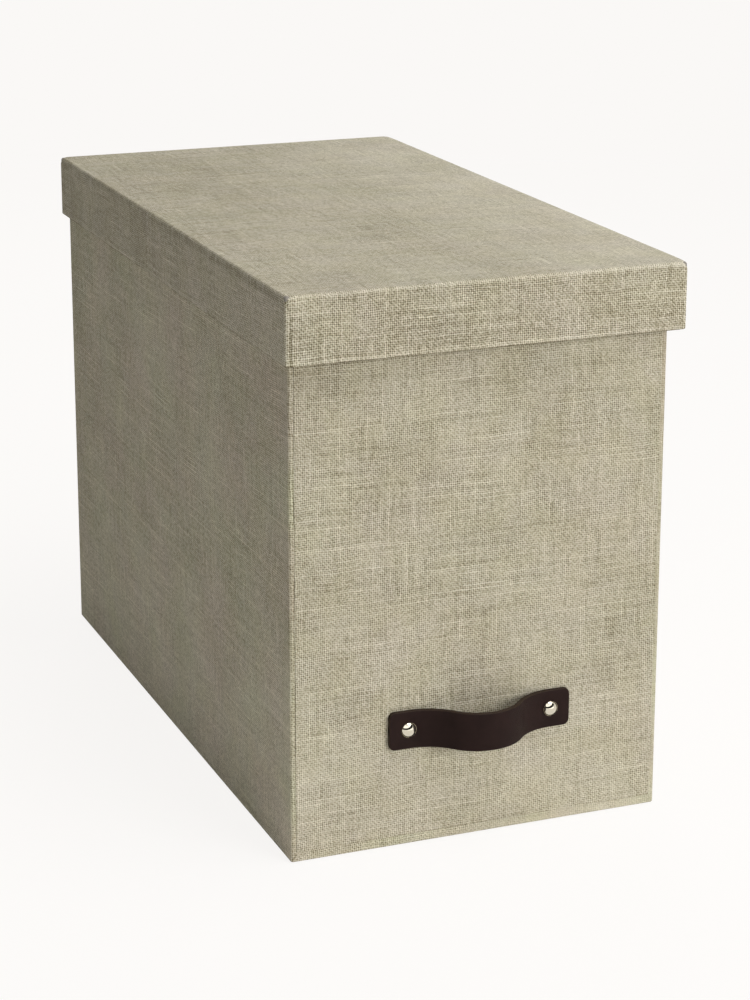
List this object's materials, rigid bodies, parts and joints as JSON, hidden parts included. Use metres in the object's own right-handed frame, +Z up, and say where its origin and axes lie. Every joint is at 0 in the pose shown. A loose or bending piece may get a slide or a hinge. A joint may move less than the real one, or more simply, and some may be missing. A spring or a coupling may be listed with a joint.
{
  "type": "hanging file box",
  "caption": "Tall rigid file box in natural linen cloth with a lift-off lid, a riveted leather strap handle low on the front and steel rails inside for hanging files.",
  "frame": {"origin": "middle of the box's underside, on the surface it stands on", "axes": "+X to the right, +Y from the handle's end to the rear, +Z up"},
  "size_m": [0.1904, 0.3688, 0.261],
  "materials": {
    "greyboard": "matt pressed grey board",
    "greyboard_batten": "matt laminated grey board",
    "linen_cloth": "natural linen book cloth, plain weave, matt",
    "lining_paper": "matt uncoated cream paper",
    "rail_steel": "satin zinc-plated steel strip",
    "rivet_steel": "satin",
    "strap_leather": "smooth dark brown leather, low sheen",
    "nickel": "polished nickel plate"
  },
  "bodies": {
    "box": {"floor_board": "greyboard", "front_board": "greyboard", "rear_board": "greyboard", "left_board": "greyboard", "right_board": "greyboard", "body_cloth": "linen_cloth", "front_sheet": "linen_cloth", "rear_sheet": "linen_cloth", "base_sheet": "linen_cloth", "floor_lining": "lining_paper", "wall_lining": "lining_paper", "front_batten": "greyboard_batten", "rear_batten": "greyboard_batten", "front_rail": "rail_steel", "rear_rail": "rail_steel", "front_rail_rivets": "rivet_steel", "rear_rail_rivets": "rivet_steel", "handle_strap": "strap_leather", "handle_rivet_caps": "nickel", "handle_rivet_posts": "nickel"},
    "lid": {"lid_top_board": "greyboard", "lid_front_board": "greyboard", "lid_rear_board": "greyboard", "lid_left_board": "greyboard", "lid_right_board": "greyboard", "lid_cloth": "linen_cloth", "lid_top_lining": "lining_paper", "lid_skirt_lining": "lining_paper"}
  },
  "joints": [
    {"name": "lid_lift", "type": "slide", "parent": "box", "child": "lid", "axis": [0, 0, 1], "range_m": [0, 0.15]}
  ]
}
